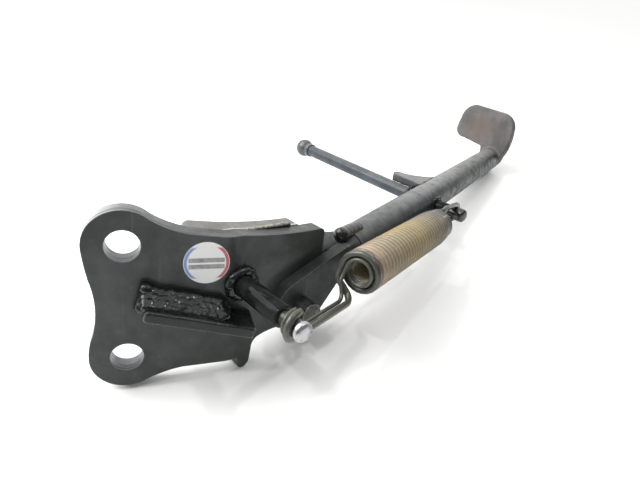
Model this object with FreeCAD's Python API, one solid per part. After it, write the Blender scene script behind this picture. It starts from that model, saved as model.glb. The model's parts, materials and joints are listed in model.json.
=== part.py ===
# Motorcycle side stand: frame bracket, pivoting leg with foot and tang, and two nested return springs.
# Millimetres.  Origin: upper bolt hole, on the bracket's front face.  +X runs out towards the leg, +Z up,
# and the front face looks along -Y.  The leg is modelled stowed, held against its stop by the springs.
import FreeCAD
import Part
import math
import os
from FreeCAD import Vector

# ---- bracket plate
PLATE_THICKNESS = 8.0
BOLT_HOLE_RADIUS = 6.5
BOLT_SPACING = 50.0
LOBE_RADIUS = 14.4
PLATE_BOTTOM = -57.2
PLATE_TOP_AT_BEND = 3.0

# ---- tongue, bent back from the plate so that the leg clears the frame
BEND_X = 42.0
BEND_ANGLE = 22.0
BEND_FRONT_RADIUS = 20.0
TONGUE_END = 48.6
TONGUE_TOP = -0.8
EAR_RADIUS = 15.3
LUG_LENGTH = 10.5
PIVOT_S = 33.0
PIVOT_H = -35.0

# ---- doubler behind the tongue
DOUBLER_THICKNESS = 9.0
DOUBLER_START_X = 22.0
DOUBLER_END = 40.5
DOUBLER_BOTTOM = -40.0
DOUBLER_RELIEF = 16.0
SEAM_WELD_RADIUS = 1.5

# ---- stop bar standing on the plate's face
BAR_START = (7.5, -21.2)
BAR_SLOPE = -15.0
BAR_LENGTH = 44.5
BAR_THICKNESS = 5.0
BAR_DEPTH = 13.0
BAR_WELD_LENGTH = 31.0
BAR_WELD_SIZE = 6.0
BAR_WELD_ROOT = 0.5
BAR_WELD_THROAT = 2.6
END_LUMP_RADIUS = 4.6

# ---- spring post on the bracket, square to the tongue
POST_S = 3.95
POST_H = -18.7
POST_RADIUS = 4.75
POST_SHOULDER = 30.85
POST_NECK_RADIUS = 3.3
POST_HEAD_START = 41.1
POST_HEAD_LENGTH = 3.0
POST_HEAD_RADIUS = 4.2
POST_HEAD_ROUNDING = 1.2
POST_WELD_SIZE = 3.6

# ---- pivot
BUSH_RADIUS = 7.5
BOLT_RADIUS = 5.0
BUSH_PROUD = 0.1
RUNNING_GAP = 0.05
BOLT_END = 8.7
HEAD_ACROSS_FLATS = 16.0
HEAD_LENGTH = 6.4
PIVOT_WASHER_RADIUS = 10.0
PIVOT_WASHER_THICKNESS = 1.6

# ---- fork that straddles the tongue
FORK_GAP = 0.3
CHEEK_THICKNESS = 6.0
CHEEK_RADIUS = 13.5
CHEEK_END = 60.0
CROWN_START = TONGUE_END + 0.4
CROWN_BOTTOM = -28.0
CROWN_FRONT_TOP = -12.0
CROWN_BACK_TOP = -9.5
STOP_GAP = 0.3

# ---- leg tube
LEG_START = Vector(100.1, 25.1, -17.3)
LEG_DIRECTION = Vector(0.7747, 0.6312, 0.0371).normalize()
LEG_NECK = 4.0
LEG_LENGTH = 276.0
LEG_RADIUS_NEAR = 11.0
LEG_RADIUS_FAR = 10.0
LEG_WALL = 3.0
FORK_BEAD_RADIUS = 1.4
FORK_LUMP_RADIUS = 6.5

# ---- foot
FOOT_NORMAL = Vector(-0.88, -0.45, 0.15).normalize()
FOOT_THICKNESS = 7.0
FOOT_SETBACK = 281.0

# ---- tang rod, its ball and gusset, and the leg's own spring post
CROSSING = 111.0
TANG_DIRECTION = Vector(-0.391, 0.919, 0.051).normalize()
TANG_RADIUS = 4.5
TANG_LENGTH = 128.0
BALL_RADIUS = 7.1
GUSSET_THICKNESS = 5.6
GUSSET_LIFT = 3.9
LEG_POST_RADIUS = 4.2
LEG_POST_LENGTH = 33.5
ROD_WELD_SIZE = 3.0

# ---- springs: wire radius, coil radius, where the hooks lie along the posts, and the two bends between
# the coils and the near hook, as (along, to the front, up) from the coils' start
OUTER_WIRE = 1.55
OUTER_COIL = 8.95
OUTER_HOOK = 37.6
OUTER_BENDS = ((-0.8, -OUTER_COIL, -4.6), (-0.6, -0.4, -13.0))
OUTER_FAR_HOOK = 24.5
INNER_WIRE = 0.95
INNER_COIL = 6.3
INNER_HOOK = 34.7
INNER_BENDS = ((-2.4, -INNER_COIL, -4.6), (-4.3, -3.2, -12.2))
INNER_FAR_HOOK = 21.3
COIL_CENTRE_LINE = Vector(60.0, -33.4, -12.4)
COIL_DIRECTION = Vector(0.792, 0.61, -0.011).normalize()
COIL_START = 44.0
COIL_LENGTH = 101.0
HOOK_GAP = 0.12
NEAR_TIP = 2.5
NEAR_BEND_RADII = (3.2, 4.5)
FAR_TIP = 5.0
FAR_BEND_RADIUS = 4.0

# ---- round label on the plate
LABEL_CENTRE = (31.1, -8.0)
LABEL_RADIUS = 9.15
LABEL_THICKNESS = 0.15

BEND = math.radians(BEND_ANGLE)
UP = Vector(0, 0, 1)
ALONG_TONGUE = Vector(math.cos(BEND), math.sin(BEND), 0)
PIVOT_AXIS = Vector(math.sin(BEND), -math.cos(BEND), 0)
BEND_RUN = BEND_FRONT_RADIUS * math.tan(BEND / 2)
BEND_START_X = BEND_X - BEND_RUN
SPRING_RUN = Vector(COIL_DIRECTION.x, COIL_DIRECTION.y, 0).normalize()
CHEEK_INNER_BACK = -PLATE_THICKNESS - FORK_GAP
CHEEK_FRONT = FORK_GAP + CHEEK_THICKNESS
CHEEK_BACK = CHEEK_INNER_BACK - CHEEK_THICKNESS


def tongue_point(s, h, w=0.0):
    """A point s along the tongue from the bend line, h up, and w out of its front face."""
    return Vector(BEND_X, 0, 0) + ALONG_TONGUE * s + UP * h + PIVOT_AXIS * w


def frame(origin, x_axis, y_axis):
    """A placement whose local x and y run along two square unit vectors."""
    z_axis = x_axis.cross(y_axis)
    return FreeCAD.Placement(FreeCAD.Matrix(
        x_axis.x, y_axis.x, z_axis.x, origin.x,
        x_axis.y, y_axis.y, z_axis.y, origin.y,
        x_axis.z, y_axis.z, z_axis.z, origin.z,
        0, 0, 0, 1))


def square_frame(origin, x_axis, roughly_y):
    """A frame along x_axis whose y is the nearest square direction to roughly_y."""
    x_unit = Vector(x_axis).normalize()
    y_unit = (roughly_y - x_unit * roughly_y.dot(x_unit)).normalize()
    return frame(origin, x_unit, y_unit)


def outline(points, place):
    """A closed wire: a pair is a corner, and ("arc", middle, end) is an arc to the next corner."""
    edges = []
    here = points[0]
    for item in points[1:] + [points[0]]:
        start = Vector(here[0], here[1], 0)
        if item[0] == "arc":
            middle, end = item[1], item[2]
            edges.append(Part.Arc(start, Vector(*middle, 0), Vector(*end, 0)).toShape())
            here = end
        elif (Vector(*item, 0) - start).Length > 1e-6:
            edges.append(Part.LineSegment(start, Vector(*item, 0)).toShape())
            here = item
    wire = Part.Wire(edges)
    wire.Placement = place
    return wire


def prism(points, place, low, high):
    """The outline extruded between two heights along the frame's local z."""
    z_axis = place.Rotation.multVec(Vector(0, 0, 1))
    face = Part.Face(outline(points, place))
    face.translate(z_axis * low)
    return face.extrude(z_axis * (high - low))


def on_circle(centre, radius, degrees):
    angle = math.radians(degrees)
    return (centre[0] + radius * math.cos(angle), centre[1] + radius * math.sin(angle))


def cylinder(radius, start, end):
    run = end - start
    return Part.makeCylinder(radius, run.Length, start, run)


def fillet_ring(radius, size, start, direction):
    """A cone of weld metal round a rod where it leaves a surface."""
    cone = Part.makeCone(radius + size, radius + 0.3, size * 1.5, start, direction)
    return cone.cut(Part.makeCylinder(radius, size * 4, start - direction * size, direction))


def rounded(shape, radius, wanted):
    """Fillets the edges for which wanted(edge) is true."""
    edges = [edge for edge in shape.Edges if wanted(edge)]
    return shape.makeFillet(radius, edges)


# The flat of the plate is drawn in a frame whose local x is +X and y is +Z, so its local z is -Y.
FLAT = frame(Vector(0, 0, 0), Vector(1, 0, 0), UP)
TONGUE = frame(Vector(BEND_X, 0, 0), ALONG_TONGUE, UP)
UPPER_HOLE = (0.0, 0.0)
LOWER_HOLE = (0.0, -BOLT_SPACING)
PIVOT = (PIVOT_S, PIVOT_H)


def leg_point(distance):
    return LEG_START + LEG_DIRECTION * distance


def in_tongue(point):
    """The s and h of a point, seen square to the tongue."""
    run = point - Vector(BEND_X, 0, 0)
    return run.dot(ALONG_TONGUE), run.dot(UP)


def leg_travel():
    """Degrees from stowed to deployed.  The spring's centre line passes over the pivot half way, so the
    springs are as long at one stop as at the other."""
    post_s, post_h = in_tongue(leg_point(CROSSING))
    over_centre = math.atan2(PIVOT_H - POST_H, PIVOT_S - POST_S)
    leg_angle = math.atan2(post_h - PIVOT_H, post_s - PIVOT_S)
    return math.degrees(2 * (leg_angle - over_centre))


def turned_about_pivot(x, y):
    """Where a point of the stowed leg, x along and y above the pivot, is once the leg is deployed."""
    angle = math.radians(-leg_travel())
    along = x * math.cos(angle) - y * math.sin(angle)
    above = x * math.sin(angle) + y * math.cos(angle)
    return (PIVOT_S + along, PIVOT_H + above)


def bend_wedge(front_depth, back_depth, low, high):
    """The bent stretch between two depths behind the front face, swept round the bend's own axis."""
    axis_point = Vector(BEND_START_X, BEND_FRONT_RADIUS, 0)
    section = Part.makePolygon([
        Vector(BEND_START_X, front_depth, low), Vector(BEND_START_X, back_depth, low),
        Vector(BEND_START_X, back_depth, high), Vector(BEND_START_X, front_depth, high),
        Vector(BEND_START_X, front_depth, low)])
    return Part.Face(section).revolve(axis_point, UP, BEND_ANGLE)


def joined(first, *others):
    return first.multiFuse(list(others)).removeSplitter()


# ------------------------------------------------------------------ bracket
def mounting_plate():
    flat = prism([
        (BEND_START_X, PLATE_TOP_AT_BEND),
        (24.5, 4.6),
        ("arc", (15.6, 7.4), (9.6, 10.73)),
        ("arc", (-1.6, 14.31), on_circle(UPPER_HOLE, LOBE_RADIUS, 185)),
        ("arc", (-13.7, -7.0), (-12.6, -13.6)),
        ("arc", (-10.8, -26.0), (-12.4, -38.6)),
        ("arc", (-13.9, -44.0), on_circle(LOWER_HOLE, LOBE_RADIUS, 178)),
        ("arc", on_circle(LOWER_HOLE, LOBE_RADIUS, 235), on_circle(LOWER_HOLE, LOBE_RADIUS, 296)),
        ("arc", (13.4, -59.8), (22.0, -57.7)),
        (BEND_START_X, PLATE_BOTTOM),
    ], FLAT, -PLATE_THICKNESS, 0)
    lug_face = CROWN_BOTTOM - PIVOT_H - STOP_GAP
    lug_reach = math.sqrt(EAR_RADIUS ** 2 - lug_face ** 2)
    lug_top = turned_about_pivot(lug_reach, lug_face)
    lug_bottom = turned_about_pivot(lug_reach + LUG_LENGTH, lug_face)
    tongue = prism([
        (BEND_RUN, PLATE_TOP_AT_BEND),
        ("arc", (17.0, 1.0), (TONGUE_END - 2.6, TONGUE_TOP)),
        ("arc", (TONGUE_END - 0.75, TONGUE_TOP - 0.75), (TONGUE_END, TONGUE_TOP - 2.6)),
        (TONGUE_END, -24.0),
        on_circle(PIVOT, EAR_RADIUS, 5),
        ("arc", on_circle(PIVOT, EAR_RADIUS, -25), lug_top),
        lug_bottom,
        (37.4, lug_bottom[1]),
        (35.4, -50.2),
        ("arc", (24.0, -47.6), (14.2, -49.2)),
        ("arc", (12.2, -51.0), (11.4, -54.0)),
        (10.6, -60.4),
        ("arc", (9.2, -62.6), (6.6, -63.4)),
        ("arc", (5.2, -62.6), (4.7, -60.2)),
        ("arc", (4.4, -58.2), (BEND_RUN, PLATE_BOTTOM)),
    ], TONGUE, -PLATE_THICKNESS, 0)
    plate = joined(flat, bend_wedge(0, PLATE_THICKNESS, PLATE_BOTTOM, PLATE_TOP_AT_BEND), tongue)
    for hole in (UPPER_HOLE, LOWER_HOLE):
        front = Vector(hole[0], -1, hole[1])
        plate = plate.cut(cylinder(BOLT_HOLE_RADIUS, front, front + Vector(0, PLATE_THICKNESS + 2, 0)))
    behind = tongue_point(*PIVOT, -PLATE_THICKNESS - 1)
    return plate.cut(cylinder(BUSH_RADIUS, tongue_point(*PIVOT, 1), behind))


def tongue_doubler():
    back = PLATE_THICKNESS + DOUBLER_THICKNESS
    flat = prism([
        (DOUBLER_START_X + 3.0, PLATE_TOP_AT_BEND + 0.9),
        ("arc", (DOUBLER_START_X + 0.9, PLATE_TOP_AT_BEND), (DOUBLER_START_X, PLATE_TOP_AT_BEND - 2.1)),
        (DOUBLER_START_X, DOUBLER_BOTTOM + 6.0),
        ("arc", (DOUBLER_START_X + 1.8, DOUBLER_BOTTOM + 1.8), (DOUBLER_START_X + 6.0, DOUBLER_BOTTOM)),
        (BEND_START_X, DOUBLER_BOTTOM),
        (BEND_START_X, PLATE_TOP_AT_BEND),
    ], FLAT, -back, -PLATE_THICKNESS)
    tongue = prism([
        (BEND_RUN, PLATE_TOP_AT_BEND),
        ("arc", (17.0, 1.2), (DOUBLER_END - 3.0, -0.2)),
        ("arc", (DOUBLER_END - 0.9, -1.1), (DOUBLER_END, -3.2)),
        (DOUBLER_END, -15.2),
        on_circle(PIVOT, DOUBLER_RELIEF, 113),
        ("arc", on_circle(PIVOT, DOUBLER_RELIEF, 150), on_circle(PIVOT, DOUBLER_RELIEF, 184)),
        (PIVOT_S - DOUBLER_RELIEF, DOUBLER_BOTTOM),
        (BEND_RUN, DOUBLER_BOTTOM),
    ], TONGUE, -back, -PLATE_THICKNESS)
    return joined(flat, bend_wedge(PLATE_THICKNESS, back, DOUBLER_BOTTOM, PLATE_TOP_AT_BEND), tongue)


def bar_frame():
    slope = math.radians(BAR_SLOPE)
    along = Vector(math.cos(slope), 0, math.sin(slope))
    across = Vector(-math.sin(slope), 0, math.cos(slope))
    return frame(Vector(BAR_START[0], 0, BAR_START[1]), along, across)


def stop_bar(plate):
    corner = 1.0
    bar = prism([
        (corner, 0), (BAR_LENGTH, 0), (BAR_LENGTH, -BAR_THICKNESS), (corner, -BAR_THICKNESS),
        (0, corner - BAR_THICKNESS), (0, -corner)], bar_frame(), -3.0, BAR_DEPTH)
    return bar.cut(plate)


def stop_bar_weld(plate, bar):
    """Bead in the corner of the face and the bar's upper side, with a lump round the bar's left end."""
    place = bar_frame()
    start = place.multVec(Vector(0.5, 0, 0))
    section = frame(start, place.Rotation.multVec(Vector(0, 1, 0)), Vector(0, -1, 0))
    shoulder = BAR_WELD_SIZE - 1.4
    bead = prism([
        (-BAR_WELD_ROOT, -BAR_WELD_ROOT),
        (BAR_WELD_SIZE, -BAR_WELD_ROOT),
        (shoulder, BAR_WELD_THROAT),
        (BAR_WELD_THROAT, shoulder),
        (-BAR_WELD_ROOT, BAR_WELD_SIZE),
    ], section, 0, BAR_WELD_LENGTH)
    end_lump = Part.makeSphere(END_LUMP_RADIUS, place.multVec(Vector(0.6, -2.4, 0.4)))
    return joined(bead, end_lump).cut(plate).cut(bar)


def post_point(w):
    return tongue_point(POST_S, POST_H, w)


def bracket_spring_post(plate):
    stem = cylinder(POST_RADIUS, post_point(-2), post_point(POST_SHOULDER))
    stem = stem.cut(plate)
    neck = cylinder(POST_NECK_RADIUS, post_point(POST_SHOULDER), post_point(POST_HEAD_START))
    head_end = post_point(POST_HEAD_START + POST_HEAD_LENGTH)
    head = cylinder(POST_HEAD_RADIUS, post_point(POST_HEAD_START), head_end)
    head = rounded(head, POST_HEAD_ROUNDING, lambda edge: edge.Curve.TypeId == "Part::GeomCircle")
    return joined(stem, neck, head)


def post_base_weld(plate):
    ring = fillet_ring(POST_RADIUS, POST_WELD_SIZE, post_point(-1.2), PIVOT_AXIS)
    return ring.cut(plate)


def seam_weld(plate, doubler):
    """A run of weld along the top edge, over the seam between the tongue and its doubler."""
    seam = []
    for s, h in ((8.0, 1.9), (20.0, 0.55), (33.0, -0.15)):
        seam.append(tongue_point(s, h, -PLATE_THICKNESS))
    runs = [cylinder(SEAM_WELD_RADIUS, seam[0], seam[1]), cylinder(SEAM_WELD_RADIUS, seam[1], seam[2])]
    beads = joined(runs[0], runs[1], *[Part.makeSphere(SEAM_WELD_RADIUS, point) for point in seam])
    return beads.cut(plate).cut(doubler)


def pivot_bush():
    low, high = -PLATE_THICKNESS - BUSH_PROUD, BUSH_PROUD
    bush = cylinder(BUSH_RADIUS, tongue_point(*PIVOT, low), tongue_point(*PIVOT, high))
    bore_radius = BOLT_RADIUS + RUNNING_GAP
    return bush.cut(cylinder(bore_radius, tongue_point(*PIVOT, low - 1), tongue_point(*PIVOT, high + 1)))


def inspection_label():
    centre = Vector(LABEL_CENTRE[0], 0, LABEL_CENTRE[1])
    return cylinder(LABEL_RADIUS, centre, centre - Vector(0, LABEL_THICKNESS, 0))


# ------------------------------------------------------------------ leg
def cheek(low, high):
    plate = prism([
        on_circle(PIVOT, CHEEK_RADIUS, 113),
        ("arc", on_circle(PIVOT, CHEEK_RADIUS, 218), on_circle(PIVOT, CHEEK_RADIUS, 323)),
        (55.2, -28.6),
        (CHEEK_END, CROWN_BOTTOM + 0.4),
        (CHEEK_END, CROWN_FRONT_TOP + 2.4),
        (52.0, CROWN_FRONT_TOP - 0.6),
    ], TONGUE, low, high)
    return plate.cut(cylinder(BOLT_RADIUS, tongue_point(*PIVOT, low - 2), tongue_point(*PIVOT, high + 2)))


def crown_section(s, front, back, bottom, front_top, back_top):
    corners = [tongue_point(s, bottom, front), tongue_point(s, front_top, front),
               tongue_point(s, back_top, back), tongue_point(s, bottom, back)]
    return Part.makePolygon(corners + corners[:1])


def round_section(centre, radius):
    """A circle square to the leg, in four arcs that start at the same corners as a crown section."""
    side = LEG_DIRECTION.cross(UP).normalize()
    above = side.cross(LEG_DIRECTION)
    arcs = []
    for corner in (-45, 45, 135, 225):
        points = []
        for turn in (0, 45, 90):
            across, up = on_circle((0, 0), radius, corner + turn)
            points.append(centre + side * across + above * up)
        arcs.append(Part.Arc(*points).toShape())
    return Part.Wire(arcs)


def fork_crown():
    """The block between the cheeks, which butts on the tongue's end, and the neck that meets the tube."""
    inner = crown_section(CROWN_START, FORK_GAP, CHEEK_INNER_BACK,
                          CROWN_BOTTOM, CROWN_FRONT_TOP, CROWN_BACK_TOP)
    block = Part.Face(inner).extrude(ALONG_TONGUE * (CHEEK_END - CROWN_START))
    outer = crown_section(CHEEK_END, CHEEK_FRONT, CHEEK_BACK,
                          CROWN_BOTTOM + 0.4, CROWN_FRONT_TOP + 2.4, CROWN_FRONT_TOP + 2.4)
    neck = Part.makeLoft([outer, round_section(leg_point(LEG_NECK), LEG_RADIUS_NEAR)], True, True)
    return joined(block, neck)


def leg_radius(distance):
    share = (distance - LEG_NECK) / (LEG_LENGTH - LEG_NECK)
    return LEG_RADIUS_NEAR + (LEG_RADIUS_FAR - LEG_RADIUS_NEAR) * share


def leg_tube():
    """A tapered tube from the crown to the foot."""
    length = LEG_LENGTH - LEG_NECK
    outside = Part.makeCone(LEG_RADIUS_NEAR, LEG_RADIUS_FAR, length, leg_point(LEG_NECK), LEG_DIRECTION)
    inside = Part.makeCone(LEG_RADIUS_NEAR - LEG_WALL, LEG_RADIUS_FAR - LEG_WALL, length,
                           leg_point(LEG_NECK), LEG_DIRECTION)
    return outside.cut(inside)


def fork_weld(crown, tube):
    """The bead round the joint of crown and tube, thickest on top."""
    bead = Part.makeTorus(LEG_RADIUS_NEAR - FORK_BEAD_RADIUS / 2, FORK_BEAD_RADIUS, leg_point(LEG_NECK),
                          LEG_DIRECTION)
    lump = Part.makeSphere(FORK_LUMP_RADIUS, leg_point(LEG_NECK - 1.0) + UP * (LEG_RADIUS_NEAR - 4.0))
    core = cylinder(LEG_RADIUS_NEAR - 1.6, leg_point(-30), leg_point(LEG_NECK + 20))
    return joined(bead, lump).cut(core).cut(crown).cut(tube)


def foot_frame():
    """Local x runs across the foot plate, y up it, and z out of the face that the leg joins."""
    up_plate = (UP - FOOT_NORMAL * FOOT_NORMAL.dot(UP)).normalize()
    return frame(leg_point(FOOT_SETBACK), up_plate.cross(FOOT_NORMAL), up_plate)


def foot_plate():
    """The foot plate, with a neck drawn down from its face to the end of the tube."""
    place = foot_frame()
    plate = prism([
        (-32.0, 14.6), ("arc", (-39.4, 17.6), (-41.4, 24.6)),
        (-39.8, 34.6), ("arc", (-35.6, 43.2), (-27.2, 47.2)),
        (2.4, 44.4), ("arc", (10.6, 39.4), (14.4, 29.2)),
        ("arc", (14.6, 16.0), (11.2, 4.0)),
        ("arc", (6.8, -5.0), (-1.2, -8.6)), ("arc", (-8.0, -6.0), (-10.6, 2.0)),
        (-11.6, 10.4),
    ], place, -FOOT_THICKNESS, 0)
    neck = Part.makeCone(LEG_RADIUS_FAR, LEG_RADIUS_FAR + 1.0, FOOT_SETBACK - LEG_LENGTH + 14,
                         leg_point(LEG_LENGTH), LEG_DIRECTION)
    beyond = prism([(-60, -60), (60, -60), (60, 60), (-60, 60)], place, -60, -FOOT_THICKNESS / 2)
    return joined(plate, neck.cut(beyond))


def tang_point(distance):
    return leg_point(CROSSING) + TANG_DIRECTION * distance


def tang_rod(core):
    return cylinder(TANG_RADIUS, tang_point(2), tang_point(TANG_LENGTH - BALL_RADIUS + 1.0)).cut(core)


def leg_core():
    """The tube with its bore filled, to trim what is welded on its outside."""
    length = LEG_LENGTH - LEG_NECK
    return Part.makeCone(LEG_RADIUS_NEAR, LEG_RADIUS_FAR, length, leg_point(LEG_NECK), LEG_DIRECTION)


def tang_ball():
    ball = Part.makeSphere(BALL_RADIUS, tang_point(TANG_LENGTH))
    collar_start = TANG_LENGTH - BALL_RADIUS - 1.6
    collar = cylinder(TANG_RADIUS + 0.8, tang_point(collar_start), tang_point(TANG_LENGTH - BALL_RADIUS + 2))
    rod = cylinder(TANG_RADIUS, tang_point(0), tang_point(TANG_LENGTH - BALL_RADIUS + 1.0))
    return joined(ball, collar).cut(rod)


def tang_gusset(core, rod):
    """A thick web, above the tang, in its corner with the foot end of the tube."""
    place = square_frame(leg_point(CROSSING), TANG_DIRECTION, LEG_DIRECTION)
    web = prism([
        (6.0, 2.0),
        (29.0, 2.0),
        ("arc", (33.0, 5.6), (30.0, 9.6)),
        ("arc", (19.0, 17.0), (12.5, 36.0)),
        (4.0, 44.0),
    ], place, -GUSSET_LIFT - GUSSET_THICKNESS, -GUSSET_LIFT)
    return max(web.cut(core).cut(rod).Solids, key=lambda solid: solid.Volume)


def leg_post_point(distance):
    return leg_point(CROSSING) + PIVOT_AXIS * distance


def leg_spring_post(core):
    """Stem, neck and button head; the spring hooks lie on the neck."""
    shoulder = INNER_FAR_HOOK - INNER_WIRE - HOOK_GAP
    head_start = OUTER_FAR_HOOK + OUTER_WIRE + HOOK_GAP
    stem = cylinder(LEG_POST_RADIUS, leg_post_point(4), leg_post_point(shoulder)).cut(core)
    neck = cylinder(POST_NECK_RADIUS, leg_post_point(shoulder), leg_post_point(head_start))
    head = cylinder(POST_HEAD_RADIUS, leg_post_point(head_start), leg_post_point(LEG_POST_LENGTH))
    head = rounded(head, POST_HEAD_ROUNDING, lambda edge: edge.Curve.TypeId == "Part::GeomCircle")
    return joined(stem, neck, head)


def rod_weld(radius, direction, core):
    """Weld round a rod where it leaves the tube."""
    start = leg_point(CROSSING) + direction * (leg_radius(CROSSING) - 2.0)
    return fillet_ring(radius, ROD_WELD_SIZE, start, direction).cut(core)


def pivot_bolt():
    """Head behind the rear cheek, shank through the bush, and its end screwed through the front cheek."""
    head_start = CHEEK_BACK - PIVOT_WASHER_THICKNESS
    bolt_end = tongue_point(*PIVOT, CHEEK_FRONT + BOLT_END)
    shank = cylinder(BOLT_RADIUS, tongue_point(*PIVOT, head_start), bolt_end)
    head_centre = tongue_point(*PIVOT, head_start)
    corners = [on_circle(PIVOT, HEAD_ACROSS_FLATS / math.sqrt(3), 60 * turn) for turn in range(6)]
    head = prism(corners, TONGUE, head_start - HEAD_LENGTH, head_start)
    flat = HEAD_ACROSS_FLATS / 2
    chamfer = Part.makeCone(flat - 0.2, flat + HEAD_LENGTH * 1.6, HEAD_LENGTH,
                            head_centre - PIVOT_AXIS * HEAD_LENGTH, PIVOT_AXIS)
    return joined(shank, head.common(chamfer))


def pivot_washer():
    low = CHEEK_BACK - PIVOT_WASHER_THICKNESS
    disc = cylinder(PIVOT_WASHER_RADIUS, tongue_point(*PIVOT, low), tongue_point(*PIVOT, CHEEK_BACK))
    bore = cylinder(BOLT_RADIUS, tongue_point(*PIVOT, low - 1), tongue_point(*PIVOT, CHEEK_BACK + 1))
    return disc.cut(bore)


# ------------------------------------------------------------------ springs
def coil_point(distance, side=0.0, above=0.0):
    """A point along the coil's centre line, then to its front side and upwards."""
    across = COIL_DIRECTION.cross(UP).normalize()
    upward = across.cross(COIL_DIRECTION)
    return COIL_CENTRE_LINE + COIL_DIRECTION * distance + across * side + upward * above


def bent_wire(points, radii, wire_radius):
    """A round wire along straight runs, with an arc of the given radius at each inner point."""
    edges = []
    here = points[0]
    for before, corner, after, radius in zip(points, points[1:], points[2:], radii):
        back = (before - corner).normalize()
        ahead = (after - corner).normalize()
        half = back.getAngle(ahead) / 2
        setback = radius / math.tan(half)
        centre = corner + (back + ahead).normalize() * (radius / math.sin(half))
        start = corner + back * setback
        end = corner + ahead * setback
        middle = centre + (corner - centre).normalize() * radius
        if (start - here).Length > 0.01:
            edges.append(Part.LineSegment(here, start).toShape())
        edges.append(Part.Arc(start, middle, end).toShape())
        here = end
    edges.append(Part.LineSegment(here, points[-1]).toShape())
    path = Part.Wire(edges)
    circle = Part.Wire(Part.makeCircle(wire_radius, points[0], points[1] - points[0]))
    return path.makePipeShell([circle], True, True)


def coil_sleeve(wire_radius, coil_radius):
    """The closed coils as one sleeve, scalloped outside where the turns show."""
    turns = int(COIL_LENGTH / (2 * wire_radius))
    step = COIL_LENGTH / turns
    inner = coil_radius - wire_radius
    outer = coil_radius + wire_radius / 2
    edges = []
    for turn in range(turns):
        low, high = turn * step, (turn + 1) * step
        crest = Vector(coil_radius + wire_radius, 0, (low + high) / 2)
        edges.append(Part.Arc(Vector(outer, 0, low), crest, Vector(outer, 0, high)).toShape())
    corners = [
        Vector(outer, 0, COIL_LENGTH),
        Vector(inner, 0, COIL_LENGTH),
        Vector(inner, 0, 0),
        Vector(outer, 0, 0),
    ]
    for start, end in zip(corners, corners[1:]):
        edges.append(Part.LineSegment(start, end).toShape())
    sleeve = Part.Face(Part.Wire(edges)).revolve(Vector(0, 0, 0), UP, 360)
    sleeve.Placement = FreeCAD.Placement(coil_point(COIL_START), FreeCAD.Rotation(UP, COIL_DIRECTION))
    return sleeve


def near_hook(loop, post, lead):
    """Corners of the hook round the bracket's post, in the coils' upright plane.  The wire comes from its
    lead, which is moved into that plane, runs under the neck and round it, and ends above it."""
    reach = lead - post
    along = reach.dot(SPRING_RUN)
    slope = math.atan2(reach.z, along) + math.asin(loop / math.hypot(along, reach.z))
    corners = [
        (along, reach.z),
        (-loop, -loop * (1 + math.sin(slope)) / math.cos(slope)),
        (-loop, loop),
        (NEAR_TIP, loop),
    ]
    return [post + SPRING_RUN * x + UP * y for x, y in corners]


def spring(wire_radius, coil_radius, near_place, near_bends, far_place):
    """Closed coils with a hook at each end, round the bracket's post and round the leg's."""
    snug = POST_NECK_RADIUS + HOOK_GAP + wire_radius
    near_loop = snug / SPRING_RUN.dot(ALONG_TONGUE)
    near_end = coil_point(COIL_START + wire_radius, -coil_radius, 0.0)
    rise, lead = [coil_point(COIL_START + along, front, up) for along, front, up in near_bends]
    near_wire = bent_wire([near_end, rise] + near_hook(near_loop, post_point(near_place), lead),
                          [*NEAR_BEND_RADII, near_loop, near_loop], wire_radius)
    far_post = leg_post_point(far_place)
    coil_end = COIL_START + COIL_LENGTH
    far_start = coil_point(coil_end - wire_radius, 0.0, coil_radius)
    far_lead = coil_point(coil_end + coil_radius, 0.0, coil_radius)
    far_over = far_post + ALONG_TONGUE * snug + UP * snug
    far_under = far_post + ALONG_TONGUE * snug - UP * snug
    far_tip = far_post - ALONG_TONGUE * FAR_TIP - UP * snug
    far_wire = bent_wire([far_start, far_lead, far_over, far_under, far_tip],
                         [FAR_BEND_RADIUS, snug, snug], wire_radius)
    return joined(coil_sleeve(wire_radius, coil_radius), near_wire, far_wire)


# ------------------------------------------------------------------ the nodes
PLATE = mounting_plate()
DOUBLER = tongue_doubler()
BAR = stop_bar(PLATE)
CROWN = fork_crown()
TUBE = leg_tube()
CORE = leg_core()
ROD = tang_rod(CORE)
GUSSET = tang_gusset(CORE, ROD)

NODES = {
    "mounting_plate": PLATE,
    "tongue_doubler": DOUBLER,
    "doubler_seam_weld": seam_weld(PLATE, DOUBLER),
    "stop_bar": BAR,
    "stop_bar_weld": stop_bar_weld(PLATE, BAR),
    "bracket_spring_post": bracket_spring_post(PLATE),
    "post_base_weld": post_base_weld(PLATE),
    "pivot_bush": pivot_bush(),
    "inspection_label": inspection_label(),
    "fork_cheek_front": cheek(FORK_GAP, CHEEK_FRONT),
    "fork_cheek_rear": cheek(CHEEK_BACK, CHEEK_INNER_BACK),
    "fork_crown": CROWN,
    "leg_tube": TUBE,
    "fork_weld": fork_weld(CROWN, TUBE),
    "foot_plate": foot_plate(),
    "tang_rod": ROD,
    "tang_ball": tang_ball(),
    "tang_gusset": GUSSET,
    "tang_weld": rod_weld(TANG_RADIUS, TANG_DIRECTION, CORE).cut(GUSSET),
    "leg_spring_post": leg_spring_post(CORE),
    "leg_post_weld": rod_weld(LEG_POST_RADIUS, PIVOT_AXIS, CORE),
    "pivot_bolt": pivot_bolt(),
    "pivot_washer": pivot_washer(),
    "outer_spring": spring(OUTER_WIRE, OUTER_COIL, OUTER_HOOK, OUTER_BENDS, OUTER_FAR_HOOK),
    "inner_spring": spring(INNER_WIRE, INNER_COIL, INNER_HOOK, INNER_BENDS, INNER_FAR_HOOK),
}

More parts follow.
